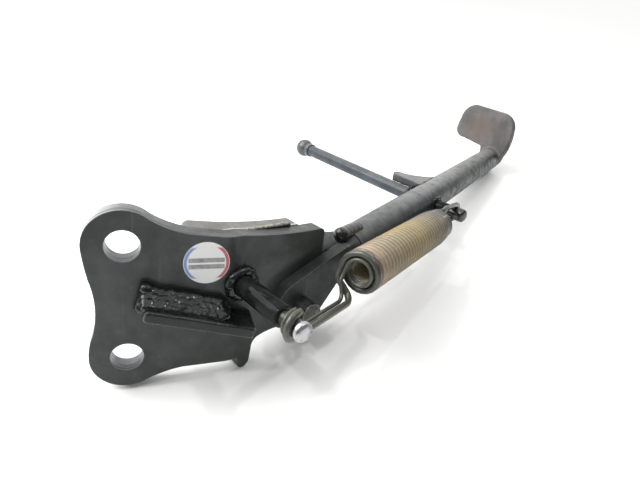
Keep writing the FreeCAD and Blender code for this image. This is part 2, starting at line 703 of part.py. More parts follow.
os.makedirs("parts", exist_ok=True)
for name, shape in NODES.items():
    shape.exportStep("parts/" + name + ".step")
    print(name, "solids", len(shape.Solids), "valid", shape.isValid(), "volume", round(shape.Volume, 1))
print("leg travel", round(leg_travel(), 2), "degrees")
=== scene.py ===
# Looks of a motorcycle side stand: black-painted bracket and leg, welds, two nested hook springs.
# Metres, in the CAD frame: origin at the upper bolt hole, +X towards the leg, -Y out of the bracket's
# face, +Z up.
import json
import math
import random

import bmesh
import bpy
from mathutils import Matrix, Vector


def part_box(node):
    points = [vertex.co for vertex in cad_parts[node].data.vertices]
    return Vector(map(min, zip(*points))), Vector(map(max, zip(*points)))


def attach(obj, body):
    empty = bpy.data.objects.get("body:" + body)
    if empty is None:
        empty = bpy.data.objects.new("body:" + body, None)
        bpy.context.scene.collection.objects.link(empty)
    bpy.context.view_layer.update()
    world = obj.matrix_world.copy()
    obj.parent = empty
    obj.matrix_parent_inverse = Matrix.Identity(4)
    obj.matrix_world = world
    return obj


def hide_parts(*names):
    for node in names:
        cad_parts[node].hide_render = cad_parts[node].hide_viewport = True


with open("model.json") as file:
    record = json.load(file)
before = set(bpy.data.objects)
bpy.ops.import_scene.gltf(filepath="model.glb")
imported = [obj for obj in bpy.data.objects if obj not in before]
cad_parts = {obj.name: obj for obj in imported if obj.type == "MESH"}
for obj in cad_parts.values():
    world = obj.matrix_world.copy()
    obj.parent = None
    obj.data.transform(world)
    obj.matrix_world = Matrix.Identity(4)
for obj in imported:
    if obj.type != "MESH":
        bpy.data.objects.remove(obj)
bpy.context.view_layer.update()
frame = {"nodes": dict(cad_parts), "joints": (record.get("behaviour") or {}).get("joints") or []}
NODES = frame["nodes"]
JOINTS = {joint["name"]: joint for joint in frame["joints"]}
MM = 0.001
SEED = 7

# ---- directions and places shared with the CAD model
UP = Vector((0, 0, 1))
PIVOT_AXIS = -Vector(JOINTS["leg_pivot"]["axis"]).normalized()
ALONG_TONGUE = UP.cross(PIVOT_AXIS)
POST_BASE = Vector(JOINTS["spring_swing"]["pos_m"])
LEG_START = Vector((100.1, 25.1, -17.3)) * MM
LEG_DIRECTION = Vector((0.7747, 0.6312, 0.0371)).normalized()
LEG_RADIUS = 10.8 * MM
LEG_NECK = 4 * MM
FORK_LUMP_LIFT = 9.2 * MM
FORK_LUMP_RADIUS = 4.1 * MM
CROSSING = 111 * MM
TANG_DIRECTION = Vector((-0.391, 0.919, 0.051)).normalized()
TANG_RADIUS = 4.5 * MM
BEND_LINE = Vector((42, 0, 0)) * MM
HOLE_CENTRES = (Vector((0, 0, 0)), Vector((0, 0, -50 * MM)))
HOLE_WALL = 6.55 * MM

# ---- stop bar: the upper left corner of its root on the plate's face, its slope, and its weld. The
# weld's rows are (out of the plate, above the bar, radius) in millimetres
BAR_CORNER = Vector((7.5, 0, -21.2)) * MM
BAR_SLOPE = math.radians(-15)
BAR_WELD_LENGTH = 30 * MM
BAR_WELD_PITCH = 0.9 * MM
BAR_WELD_ROWS = ((1.9, 2.0, 3.6), (4.6, 1.2, 3.0), (7.0, 0.4, 2.5), (8.9, -0.2, 2.0))

# ---- spring posts: (distance along the axis, radius) in millimetres from root to head
BRACKET_POST_SHOULDER = 30.85 * MM
BRACKET_POST = [(-1.9, 4.75), (30.3, 4.75), (30.7, 4.5), (30.85, 4.1), (30.9, 3.3), (41.1, 3.3),
                (41.15, 3.8), (41.5, 4.15), (42.3, 4.2), (42.8, 4.1), (43.3, 3.75), (43.7, 3.1),
                (43.95, 2.2), (44.1, 0.8)]
LEG_POST_RADIUS = 4.2 * MM
LEG_POST_SHOULDER = 20.03 * MM
LEG_POST = [(4.0, 4.2), (19.6, 4.2), (19.9, 4.0), (20.03, 3.3), (26.15, 3.3), (26.2, 3.8), (26.6, 4.2),
            (31.9, 4.2), (32.7, 3.9), (33.2, 3.2), (33.5, 2.0)]

# ---- springs: bends are (along, to the front, up) in millimetres from the coils' start, stops are
# colours along the coils, and the turn is the angle round them, in degrees, at the first and last coil
NECK_RADIUS = 3.3 * MM
HOOK_GAP = 0.12 * MM
COIL_ORIGIN = Vector((60.0, -33.4, -12.4)) * MM
COIL_DIRECTION = Vector((0.792, 0.61, -0.011)).normalized()
COIL_ACROSS = COIL_DIRECTION.cross(UP).normalized()
COIL_UPWARD = COIL_ACROSS.cross(COIL_DIRECTION)
COIL_START = 44 * MM
COIL_LENGTH = 101 * MM
COIL_TURN = (180, 115)
COIL_STEP = 15
COIL_TAPER = 1.3 * MM
TAPER_LENGTH = 16 * MM
SPRING_RUN = Vector((COIL_DIRECTION.x, COIL_DIRECTION.y, 0)).normalized()
NEAR_TIP = 2.5 * MM
FAR_TIP = 5 * MM
LEAD_BEND = 4.5 * MM
RISE_BEND = 3.2 * MM
OUTER_WIRE = 1.55 * MM
OUTER_COIL = 8.95 * MM
OUTER_HOOK = 37.6 * MM
OUTER_BENDS = ((-0.8, -8.95, -4.6), (-0.6, -0.4, -13.0))
OUTER_FAR_HOOK = 24.5 * MM
INNER_WIRE = 0.95 * MM
INNER_COIL = 6.3 * MM
INNER_HOOK = 34.7 * MM
INNER_BENDS = ((-2.4, -6.3, -4.6), (-4.3, -3.2, -12.2))
INNER_FAR_HOOK = 21.3 * MM
OUTER_STOPS = [(0.0, (0.068, 0.07, 0.055)), (0.035, (0.04, 0.04, 0.034)), (0.07, (0.27, 0.19, 0.135)),
               (0.25, (0.165, 0.137, 0.09)), (0.42, (0.21, 0.163, 0.075)), (0.56, (0.21, 0.163, 0.075)),
               (0.75, (0.11, 0.097, 0.075)), (0.92, (0.08, 0.08, 0.072)), (1.0, (0.05, 0.05, 0.048))]
# The inner wire's middle stops are a bright grey: painted light inside the outer coil's bore.
INNER_STOPS_AND_BORE_LIGHT = [(0.0, (0.07, 0.072, 0.06)), (0.04, (0.09, 0.09, 0.078)), (0.12, (0.5, 0.5, 0.44)),
               (0.5, (0.5, 0.5, 0.44)), (1.0, (0.05, 0.05, 0.045))]

# ---- the camera
CAMERA_PLACE = Vector((0.00998, -0.1765, 0.0791))
CAMERA_RIGHT = Vector((0.9427, -0.3128, 0.1161))
CAMERA_UP = Vector((0.0192, 0.3982, 0.9171))
CAMERA_LENS = 27.0
SENSOR_WIDTH = 36.0

# ---- the bench: height at the origin, and its rise along X and Y
BENCH_HEIGHT = -67.2 * MM
BENCH_RISE = (0.0441, 0.169)
BENCH_REACH = 8.0

# ---- light: the direction the studio is brightest in, and the lamps
BRIGHT_SIDE = Vector((-0.25, 0.8, 0.55)).normalized()
WINDOW_PLACE = (-0.78, 0.25, 0.8)
WINDOW_TARGET = (0.12, 0.08, -0.02)
WINDOW_SIZE = 0.85
WINDOW_POWER = 13.0
BULB_PLACES = ((-0.28, -0.3, 0.62), (-0.1, 0.3, 0.7), (0.35, -0.25, 0.6))
BULB_TARGET = (0.08, 0.02, -0.02)
BULB_SIZE = 0.03
BULB_POWER = 0.6
EXPOSURE = 0.32

# ---- shared by the painted pieces: rubbed edges with a painted highlight, clean paint, and dust with painted light from above on their tops
RUBBED_EDGE_HIGHLIGHT = (0.3, 0.3, 0.3)
EDGE_WIDTH = 0.7 * MM
CLEAN_PAINT = (0.022, 0.026, 0.025)
DUSTED_AND_LIT_TOP = (0.24, 0.235, 0.22)

# ---- meshes: points round a wire and round a turned piece, the welds' radii, their pools' shape (tilt in
# degrees) and the skin's grain
WIRE_SIDES = 14
TURNED_SIDES = 56
SEAM_RADIUS = 1.15 * MM
POST_BASE_RING = 5.6 * MM
POST_BASE_BEAD = 2.4 * MM
ROD_BEAD = 1.7 * MM
POOL_LENGTH = 0.8
POOL_TILT = 18
SKIN_GRAIN = 0.35 * MM
CRISP_ANGLE = math.radians(38)


def coil_point(distance, side=0.0, above=0.0):
    """A point along the coils' centre line, then to its front side and upwards."""
    return COIL_ORIGIN + COIL_DIRECTION * distance + COIL_ACROSS * side + COIL_UPWARD * above


def leg_point(distance):
    return LEG_START + LEG_DIRECTION * distance


# ------------------------------------------------------------------ camera, bench and light
def place_camera():
    camera = bpy.data.objects.new("camera", bpy.data.cameras.new("camera"))
    back = CAMERA_RIGHT.cross(CAMERA_UP).normalized()
    turn = Matrix((CAMERA_RIGHT, CAMERA_UP, back)).transposed()
    camera.matrix_world = Matrix.Translation(CAMERA_PLACE) @ turn.to_4x4()
    camera.data.lens = CAMERA_LENS
    camera.data.sensor_width = SENSOR_WIDTH
    camera.data.clip_start = 0.01
    bpy.context.scene.collection.objects.link(camera)
    bpy.context.scene.camera = camera


def add_bench(material):
    normal = Vector((-BENCH_RISE[0], -BENCH_RISE[1], 1)).normalized()
    along = Vector((1, 0, BENCH_RISE[0])).normalized()
    across = normal.cross(along)
    centre = Vector((0, 0, BENCH_HEIGHT))
    corners = []
    for x, y in ((-1, -1), (1, -1), (1, 1), (-1, 1)):
        corners.append(centre + along * x * BENCH_REACH + across * y * BENCH_REACH)
    mesh = bpy.data.meshes.new("bench")
    mesh.from_pydata(corners, [], [(0, 1, 2, 3)])
    bench = bpy.data.objects.new("bench", mesh)
    mesh.materials.append(material)
    bpy.context.scene.collection.objects.link(bench)


def add_lamp(name, place, target, size, power):
    lamp = bpy.data.lights.new(name, "AREA")
    lamp.shape = "SQUARE"
    lamp.size = size
    lamp.energy = power
    holder = bpy.data.objects.new(name, lamp)
    holder.location = place
    holder.rotation_euler = (Vector(target) - Vector(place)).to_track_quat("-Z", "Y").to_euler()
    bpy.context.scene.collection.objects.link(holder)


def light_scene():
    """A white studio, brighter above and behind the part, with a window lamp and three small bulbs."""
    world = bpy.data.worlds.new("studio")
    world.use_nodes = True
    nodes, links = world.node_tree.nodes, world.node_tree.links
    coordinates = nodes.new("ShaderNodeTexCoord")
    towards = nodes.new("ShaderNodeVectorMath")
    towards.operation = "DOT_PRODUCT"
    towards.inputs[1].default_value = BRIGHT_SIDE
    links.new(coordinates.outputs["Generated"], towards.inputs[0])
    glow = nodes.new("ShaderNodeMapRange")
    glow.interpolation_type = "SMOOTHSTEP"
    for name, number in (("From Min", -0.35), ("From Max", 0.5), ("To Min", 0.14), ("To Max", 1.08)):
        glow.inputs[name].default_value = number
    links.new(towards.outputs["Value"], glow.inputs["Value"])
    nodes["Background"].inputs["Color"].default_value = (1.0, 1.0, 1.0, 1.0)
    links.new(glow.outputs["Result"], nodes["Background"].inputs["Strength"])
    bpy.context.scene.world = world
    add_lamp("window", WINDOW_PLACE, WINDOW_TARGET, WINDOW_SIZE, WINDOW_POWER)
    for number, place in enumerate(BULB_PLACES):
        add_lamp("bulb_" + str(number), place, BULB_TARGET, BULB_SIZE, BULB_POWER)
    view = bpy.context.scene.view_settings
    view.view_transform = "Standard"
    view.look = "None"
    view.exposure = EXPOSURE


# ------------------------------------------------------------------ materials
class Material:
    """One procedural material, with short ways to add its nodes."""

    def __init__(self, name, roughness=0.5, metallic=0.0):
        self.data = bpy.data.materials.new(name)
        self.data.use_nodes = True
        self.tree = self.data.node_tree
        self.shader = self.tree.nodes["Principled BSDF"]
        self.shader.inputs["Roughness"].default_value = roughness
        self.shader.inputs["Metallic"].default_value = metallic
        coordinates = self.tree.nodes.new("ShaderNodeTexCoord")
        self.position = coordinates.outputs["Object"]
        self.normal = coordinates.outputs["Normal"]

    def link(self, value, socket):
        """Sets a socket from another socket, a number, a vector or a colour."""
        if isinstance(value, bpy.types.NodeSocket):
            self.tree.links.new(value, socket)
        elif isinstance(value, (tuple, list)) and len(value) == 3 and socket.type == "RGBA":
            socket.default_value = (*value, 1.0)
        else:
            socket.default_value = value

    def drive(self, name, value):
        self.link(value, self.shader.inputs[name])

    def maths(self, operation, *values):
        node = self.tree.nodes.new("ShaderNodeMath")
        node.operation = operation
        for value, socket in zip(values, node.inputs):
            self.link(value, socket)
        return node.outputs[0]

    def vector_maths(self, operation, *values):
        node = self.tree.nodes.new("ShaderNodeVectorMath")
        node.operation = operation
        for value, socket in zip(values, node.inputs):
            self.link(value, socket)
        return node.outputs["Value" if operation in ("DOT_PRODUCT", "LENGTH") else "Vector"]

    def times(self, first, second):
        return self.maths("MULTIPLY", first, second)

    def seen_from(self, place):
        """The position, as an offset from a place."""
        return self.vector_maths("SUBTRACT", self.position, tuple(place))

    def along(self, offset, direction):
        """How far an offset leads in a direction."""
        return self.vector_maths("DOT_PRODUCT", offset, tuple(direction))

    def off_line(self, offset, direction):
        """How far an offset leads away from a line in a direction."""
        return self.vector_maths("LENGTH", self.vector_maths("CROSS_PRODUCT", offset, tuple(direction)))

    def colour_so_far(self):
        return self.shader.inputs["Base Color"].links[0].from_socket

    def noise(self, scale, detail=3.0, roughness=0.55, stretch=None):
        node = self.tree.nodes.new("ShaderNodeTexNoise")
        node.inputs["Scale"].default_value = scale
        node.inputs["Detail"].default_value = detail
        node.inputs["Roughness"].default_value = roughness
        place = self.position
        if stretch is not None:
            place = self.vector_maths("MULTIPLY", place, stretch)
        self.link(place, node.inputs["Vector"])
        return node.outputs["Fac"]

    def between(self, value, low, high, bottom=0.0, top=1.0):
        """The value's smooth rise from bottom to top between low and high."""
        node = self.tree.nodes.new("ShaderNodeMapRange")
        node.interpolation_type = "SMOOTHSTEP"
        for name, number in (("From Min", low), ("From Max", high), ("To Min", bottom), ("To Max", top)):
            node.inputs[name].default_value = number
        self.link(value, node.inputs["Value"])
        return node.outputs["Result"]

    def mix(self, share, first, second):
        node = self.tree.nodes.new("ShaderNodeMix")
        node.data_type = "RGBA"
        self.link(share, node.inputs["Factor"])
        self.link(first, node.inputs[6])
        self.link(second, node.inputs[7])
        return node.outputs[2]

    def part(self, vector, name):
        node = self.tree.nodes.new("ShaderNodeSeparateXYZ")
        self.link(vector, node.inputs[0])
        return node.outputs[name]

    def softened_normal(self, radius):
        node = self.tree.nodes.new("ShaderNodeBevel")
        node.samples = 4
        node.inputs["Radius"].default_value = radius
        return node.outputs["Normal"]

    def edges(self, soft_normal):
        """1 on corners and edges, from how far the softened normal leans from the true one."""
        geometry = self.tree.nodes.new("ShaderNodeNewGeometry")
        same = self.vector_maths("DOT_PRODUCT", soft_normal, geometry.outputs["True Normal"])
        return self.between(self.maths("SUBTRACT", 1.0, same), 0.02, 0.2)

    def bump(self, height, distance, normal=None):
        node = self.tree.nodes.new("ShaderNodeBump")
        node.inputs["Strength"].default_value = 1.0
        node.inputs["Distance"].default_value = distance
        self.link(height, node.inputs["Height"])
        if normal is not None:
            self.link(normal, node.inputs["Normal"])
        self.link(node.outputs["Normal"], self.shader.inputs["Normal"])

    def near_axis(self, centre, direction, radius):
        """1 within radius of a line, such as a hole's wall."""
        away = self.off_line(self.seen_from(centre), direction)
        return self.between(away, radius, radius + 0.15 * MM, 1.0, 0.0)


def painted_steel(name, paint=CLEAN_PAINT, dusted_and_lit_colour=DUSTED_AND_LIT_TOP, dusted_and_lit_share=0.5, edge_rub_and_highlight=0.6, roughness=(0.3, 0.55),
                  coat=0.2, shine=0.45, facing=(0.3, 0.95)):
    """Satin black paint: cloudy; dust, with painted light from above, where it looks up; rubbed to grey
    on edges, with a painted highlight there; finely scratched.
    """
    material = Material(name)
    cloud = material.noise(55, 4)
    grain = material.noise(900, 2)
    soft = material.softened_normal(EDGE_WIDTH)
    lighter = tuple(channel * 1.8 + 0.006 for channel in paint)
    colour = material.mix(material.between(cloud, 0.35, 0.7), paint, lighter)
    # Dust, with painted light from above, on the faces that look up.
    facing_up = material.between(material.part(material.normal, "Z"), *facing)
    drifts = material.between(material.noise(130, 5, 0.7), 0.25, 0.6, 0.3, 1.0)
    dusted_and_lit_tops = material.times(facing_up, drifts)
    colour = material.mix(material.times(dusted_and_lit_tops, dusted_and_lit_share), colour, dusted_and_lit_colour)
    scuffs = material.between(material.noise(260, 5, 0.7), 0.58, 0.72)
    scratches = material.between(material.noise(420, 2, 0.5, (1.0, 1.0, 0.06)), 0.66, 0.72)
    scuffs = material.maths("MAXIMUM", scuffs, scratches)
    # Rubbed steel, with a painted highlight, along the edges.
    rubbed_and_highlight = material.times(material.edges(soft), material.between(cloud, 0.3, 0.6, 0.35, 1.0))
    rubbed_and_highlight = material.times(rubbed_and_highlight, edge_rub_and_highlight)
    rubbed_and_highlight = material.maths("ADD", rubbed_and_highlight, material.times(scuffs, 0.06))
    material.drive("Base Color", material.mix(rubbed_and_highlight, colour, RUBBED_EDGE_HIGHLIGHT))
    rough = material.between(material.noise(180, 4), 0.3, 0.7, *roughness)
    material.drive("Roughness", material.maths("ADD", rough, material.times(dusted_and_lit_tops, 0.15)))
    material.drive("Specular IOR Level", shine)
    material.drive("Coat Weight", coat)
    material.drive("Coat Roughness", 0.2)
    material.bump(material.maths("ADD", grain, cloud), 0.06 * MM, soft)
    return material


def plate_paint():
    """The bracket's paint: bare grey in the bolt holes, cut marks across the rim, a painted highlight on
    the left lobe's rim, and the rim darkened towards the right.
    """
    material = painted_steel("bracket_paint", (0.018, 0.022, 0.0205), (0.19, 0.19, 0.188), 0.7,
                             edge_rub_and_highlight=0.75, shine=0.33)
    painted = material.colour_so_far()
    walls = [material.near_axis(centre, (0, 1, 0), HOLE_WALL) for centre in HOLE_CENTRES]
    bored = material.maths("MAXIMUM", walls[0], walls[1])
    bored = material.times(bored, material.between(material.noise(300, 4), 0.3, 0.55, 0.35, 0.9))
    facing_out = material.maths("ABSOLUTE", material.part(material.normal, "Y"))
    rim = material.between(facing_out, 0.3, 0.8, 1.0, 0.0)
    marks = material.noise(420, 3, 0.6, (1.0, 0.12, 1.0))
    ridges = material.noise(330, 3, 0.6, (0.12, 1.6, 0.12))
    across_plate = material.part(material.position, "X")
    # The rim is darkened towards the right.
    rim_darker_rightward = material.between(across_plate, -2 * MM, 28 * MM, 0.0, 0.8)
    # Painted highlight: the left lobe's rim, which faces up and left, is made paler.
    pale = material.times(rim, material.between(across_plate, -10 * MM, 4 * MM, 0.85, 0.0))
    painted = material.mix(pale, painted, (0.36, 0.36, 0.36))
    lines = material.between(ridges, 0.5, 0.64, 0.0, 0.7)
    dark = material.times(rim, material.maths("ADD", lines, rim_darker_rightward))
    colour = material.mix(dark, material.mix(bored, painted, (0.15, 0.158, 0.165)), (0.03, 0.032, 0.032))
    material.drive("Base Color", colour)
    rough_rim = material.times(rim, material.maths("ADD", marks, ridges))
    grain = material.times(material.noise(900, 2), 0.15)
    soft = material.softened_normal(EDGE_WIDTH)
    material.bump(material.maths("ADD", rough_rim, grain), 0.3 * MM, soft)
    return material.data


def doubler_paint():
    """Dusty paint with painted light on its upward faces, and a ragged light line of spatter on top
    beside the seam.
    """
    material = painted_steel("doubler_dusted_and_lit", (0.06, 0.056, 0.052), (0.12, 0.113, 0.1), 0.85)
    painted = material.colour_so_far()
    offset = material.seen_from(BEND_LINE)
    depth = material.along(offset, -PIVOT_AXIS)
    wander = material.times(material.noise(300, 4, 0.7), 3 * MM)
    beside = material.between(material.maths("ADD", depth, wander), 10 * MM, 11 * MM, 1.0, 0.0)
    material.drive("Base Color", material.mix(beside, painted, (0.42, 0.4, 0.35)))
    return material.data


def bar_paint():
    """Thick glossy black, with a few dull patches and edges lightened as a painted highlight."""
    material = Material("bar_paint")
    patch = material.between(material.noise(90, 4), 0.35, 0.7)
    tone = material.mix(patch, (0.006, 0.008, 0.007), (0.018, 0.021, 0.019))
    # Painted highlight: the edges are lightened to grey.
    rubbed_and_highlight = material.edges(material.softened_normal(1.2 * MM))
    uneven = material.between(material.noise(120, 3), 0.35, 0.65, 0.3, 1.0)
    rubbed_and_highlight = material.times(rubbed_and_highlight, uneven)
    material.drive("Base Color", material.mix(rubbed_and_highlight, tone, (0.42, 0.43, 0.42)))
    material.drive("Roughness", material.between(material.noise(160, 4), 0.3, 0.7, 0.14, 0.34))
    material.drive("Specular IOR Level", 0.2)
    material.drive("Coat Weight", 0.2)
    material.drive("Coat Roughness", 0.08)
    material.bump(material.noise(350, 3), 0.15 * MM)
    return material.data


def glossy_weld():
    material = Material("weld_paint", 0.1)
    cloud = material.noise(400, 4)
    patches = material.between(cloud, 0.45, 0.7)
    material.drive("Base Color", material.mix(patches, (0.005, 0.006, 0.006), (0.016, 0.018, 0.017)))
    material.drive("Roughness", material.between(material.noise(250, 3), 0.3, 0.7, 0.07, 0.3))
    material.drive("Specular IOR Level", 0.15)
    material.drive("Coat Weight", 0.6)
    material.drive("Coat Roughness", 0.05)
    material.bump(material.noise(650, 4, 0.6), 0.45 * MM)
    return material.data


def dusty_weld():
    """The seam's ragged bead: brownish, dusty on top and dark in its hollows."""
    material = Material("seam_weld_paint", 0.5)
    grit = material.noise(700, 5, 0.7)
    top = material.between(material.part(material.normal, "Z"), -0.1, 0.8)
    share = material.times(top, material.between(grit, 0.35, 0.62))
    material.drive("Base Color", material.mix(share, (0.035, 0.034, 0.03), (0.34, 0.33, 0.28)))
    material.drive("Coat Weight", 0.3)
    material.bump(grit, 0.4 * MM)
    return material.data


def turned_post(name, place, direction, shoulder, bright):
    """Glossy black paint on the stem of a post, and bright worn steel beyond its shoulder."""
    material = Material(name)
    offset = material.seen_from(place)
    along = material.along(offset, direction)
    bare = material.between(along, shoulder - 0.3 * MM, shoulder + 0.3 * MM)
    patches = material.between(material.noise(300, 3), 0.5, 0.75)
    pale = (bright, bright, bright * 1.04)
    dull = (bright * 0.35, bright * 0.35, bright * 0.36)
    head = material.between(along, shoulder + 6 * MM, shoulder + 9 * MM)
    steel = material.mix(head, (0.05, 0.052, 0.048), material.mix(patches, pale, dull))
    cloud = material.between(material.noise(160, 4), 0.4, 0.7)
    paint = material.mix(cloud, (0.006, 0.008, 0.007), (0.016, 0.018, 0.017))
    material.drive("Base Color", material.mix(bare, paint, steel))
    material.drive("Metallic", material.times(bare, 0.9))
    material.drive("Roughness", material.mix(bare, (0.08, 0.08, 0.08), (0.3, 0.3, 0.3)))
    material.drive("Specular IOR Level", 0.06)
    material.bump(material.noise(500, 3), 0.03 * MM)
    return material.data


def bare_metal(name, colour, pale, roughness, metallic=0.9):
    """Turned or plated metal with patches, fine pits and rubbed edges."""
    material = Material(name, roughness, metallic)
    soft = material.softened_normal(0.5 * MM)
    patches = material.between(material.noise(350, 5, 0.65), 0.38, 0.62)
    tone = material.mix(patches, colour, tuple(channel * 0.45 for channel in colour))
    material.drive("Base Color", material.mix(material.edges(soft), tone, pale))
    grain = material.noise(700, 3)
    material.drive("Roughness", material.between(grain, 0.3, 0.7, roughness - 0.08, roughness + 0.15))
    material.bump(material.noise(1200, 4), 0.08 * MM, soft)
    return material.data


def spring_steel(name, stops, coil, wire):
    """Oily spring wire: colour along the coils, blotches, rust on top, and painted light in the grooves,
    lightening their shade.
    """
    material = Material(name, 0.5, 0.15)
    offset = material.seen_from(coil_point(COIL_START))
    run = material.maths("DIVIDE", material.along(offset, COIL_DIRECTION), COIL_LENGTH)
    wander = material.times(material.maths("SUBTRACT", material.noise(70, 3), 0.5), 0.12)
    past_start = material.between(run, 0.03, 0.1)
    inside = material.times(past_start, material.between(run, 0.72, 0.94, 1.0, 0.0))
    ramp = material.tree.nodes.new("ShaderNodeValToRGB")
    material.link(material.maths("ADD", run, material.times(wander, inside)), ramp.inputs["Fac"])
    bands = ramp.color_ramp.elements
    bands[0].position, bands[0].color = stops[0][0], (*stops[0][1], 1)
    bands[1].position, bands[1].color = stops[-1][0], (*stops[-1][1], 1)
    for place, colour in stops[1:-1]:
        bands.new(place).color = (*colour, 1)
    blotch = material.times(material.between(material.noise(90, 4, 0.6), 0.42, 0.65), inside)
    blotch = material.times(blotch, 0.45)
    colour = material.mix(blotch, ramp.outputs["Color"], (0.12, 0.115, 0.085))
    bloom = material.between(material.noise(120, 5, 0.7), 0.48, 0.72)
    above = material.between(material.along(offset, COIL_UPWARD), -2 * MM, 8 * MM)
    rust = material.times(material.times(bloom, above), inside)
    colour = material.mix(material.times(rust, 0.75), colour, (0.34, 0.22, 0.075))
    # Painted light: the grooves between the coils are lightened against their shade.
    radial = material.off_line(offset, COIL_DIRECTION)
    groove_fill_light = material.between(radial, coil + 0.35 * wire, coil + 0.95 * wire, 1.0, 0.0)
    groove_fill_light = material.times(material.times(groove_fill_light, inside), 0.7)
    material.drive("Base Color", material.mix(groove_fill_light, colour, (0.5, 0.43, 0.29)))
    shine = material.between(material.noise(500, 3), 0.3, 0.7, 0.4, 0.65)
    material.drive("Roughness", material.mix(inside, (0.2, 0.2, 0.2), shine))
    material.bump(material.noise(1500, 3), 0.05 * MM)
    return material.data


def tube_paint():
    """Even dust, with painted light from above, along the tube's top; darker towards the fork."""
    material = painted_steel("tube_paint", (0.009, 0.012, 0.013), (0.25, 0.25, 0.245), 0.8, coat=0.1,
                             shine=0.25, facing=(0.62, 1.0))
    painted = material.colour_so_far()
    offset = material.seen_from(LEG_START)
    along = material.along(offset, LEG_DIRECTION)
    # Darker towards the fork, with less of the dust and painted top light.
    darker_near_fork = material.between(along, 20 * MM, 130 * MM, 0.55, 0.0)
    material.drive("Base Color", material.mix(darker_near_fork, painted, (0.012, 0.015, 0.016)))
    return material.data


def foot_paint():
    """Grey-brown worn paint, redder in the middle of the tread."""
    material = painted_steel("foot_paint", (0.062, 0.058, 0.056), dusted_and_lit_share=0.15, edge_rub_and_highlight=0.3,
                             roughness=(0.45, 0.7), coat=0.05)
    low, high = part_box("foot_plate")
    centre = low.lerp(high, 0.6)
    painted = material.colour_so_far()
    away = material.vector_maths("LENGTH", material.seen_from(centre))
    away = material.maths("ADD", away, material.times(material.noise(110, 4), 10 * MM))
    middle = material.between(away, 12 * MM, 28 * MM, 0.75, 0.0)
    material.drive("Base Color", material.mix(middle, painted, (0.105, 0.073, 0.062)))
    return material.data


def printed_label():
    """White film with a blue arc on the left, a red one on the right and two dark blank rows between."""
    material = Material("label_print", 0.35)
    low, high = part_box("inspection_label")
    centre = low.lerp(high, 0.5)
    radius = (high.x - low.x) / 2
    offset = material.seen_from(centre)
    right, above = material.part(offset, "X"), material.part(offset, "Z")
    away = material.maths("DIVIDE", material.vector_maths("LENGTH", offset), radius)
    rim = material.between(away, 0.83, 0.86)
    rim = material.times(rim, material.between(away, 0.97, 0.99, 1.0, 0.0))
    tall = material.between(material.maths("ABSOLUTE", above), radius * 0.68, radius * 0.8, 1.0, 0.0)
    rim = material.times(rim, tall)
    arc = material.mix(material.between(right, -0.1 * MM, 0.1 * MM), (0.2, 0.3, 0.56), (0.5, 0.11, 0.12))
    colour = material.mix(rim, (0.8, 0.8, 0.79), arc)
    height = material.maths("ABSOLUTE", material.maths("SUBTRACT", above, -0.02 * radius))
    reach = material.between(material.maths("ABSOLUTE", right), radius * 0.76, radius * 0.8, 1.0, 0.0)
    rows = material.times(material.between(height, 0.03 * radius, 0.06 * radius),
                          material.between(height, 0.24 * radius, 0.28 * radius, 1.0, 0.0))
    faded = material.between(material.noise(300, 3), 0.3, 0.7, 0.6, 0.85)
    band = material.times(material.times(rows, reach), faded)
    material.drive("Base Color", material.mix(band, colour, (0.1, 0.1, 0.11)))
    material.bump(material.noise(500, 3), 0.03 * MM)
    return material.data


def white_bench():
    material = Material("bench_white", 0.55)
    cloud = material.noise(6, 2)
    material.drive("Base Color", material.mix(cloud, (0.94, 0.94, 0.93), (0.96, 0.96, 0.95)))
    return material.data


# ------------------------------------------------------------------ mesh helpers
def new_piece(name, mesh, material, body, node):
    """A finished mesh as a piece that rides on a body and stands for a CAD node."""
    for polygon in mesh.polygons:
        polygon.use_smooth = True
    mesh.materials.clear()
    mesh.materials.append(material)
    piece = bpy.data.objects.new(name, mesh)
    bpy.context.scene.collection.objects.link(piece)
    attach(piece, body)
    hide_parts(node)
    return piece


def applied(piece_mesh, modifiers):
    """The mesh with modifiers, given as (type, settings), applied in turn."""
    holder = bpy.data.objects.new("holder", piece_mesh)
    bpy.context.scene.collection.objects.link(holder)
    for number, (kind, settings) in enumerate(modifiers):
        modifier = holder.modifiers.new(str(number), kind)
        for key, value in settings.items():
            setattr(modifier, key, value)
    evaluated = holder.evaluated_get(bpy.context.evaluated_depsgraph_get())
    result = bpy.data.meshes.new_from_object(evaluated)
    bpy.data.objects.remove(holder)
    return result


def remeshed(mesh, voxel, rounds):
    """One even skin over everything in the mesh, smoothed a few rounds."""
    return applied(mesh, [("REMESH", {"mode": "VOXEL", "voxel_size": voxel}),
                          ("SMOOTH", {"factor": 0.5, "iterations": rounds})])


def rounded_path(corners, radii, steps=8):
    """Straight runs through the corners, with a sampled arc of the given radius at each inner one."""
    path = [corners[0]]
    for before, corner, after, radius in zip(corners, corners[1:], corners[2:], radii):
        back, ahead = (before - corner).normalized(), (after - corner).normalized()
        half = back.angle(ahead) / 2
        centre = corner + (back + ahead).normalized() * (radius / math.sin(half))
        first = corner + back * (radius / math.tan(half)) - centre
        last = corner + ahead * (radius / math.tan(half)) - centre
        for step in range(steps + 1):
            path.append(centre + first.slerp(last, step / steps).normalized() * radius)
    path.append(corners[-1])
    return path


def ring_of(mesh, centre, side, other, radius, count):
    """Adds a ring of points to the mesh."""
    ring = []
    for turn in range(count):
        angle = 2 * math.pi * turn / count
        ring.append(mesh.verts.new(centre + (side * math.cos(angle) + other * math.sin(angle)) * radius))
    return ring


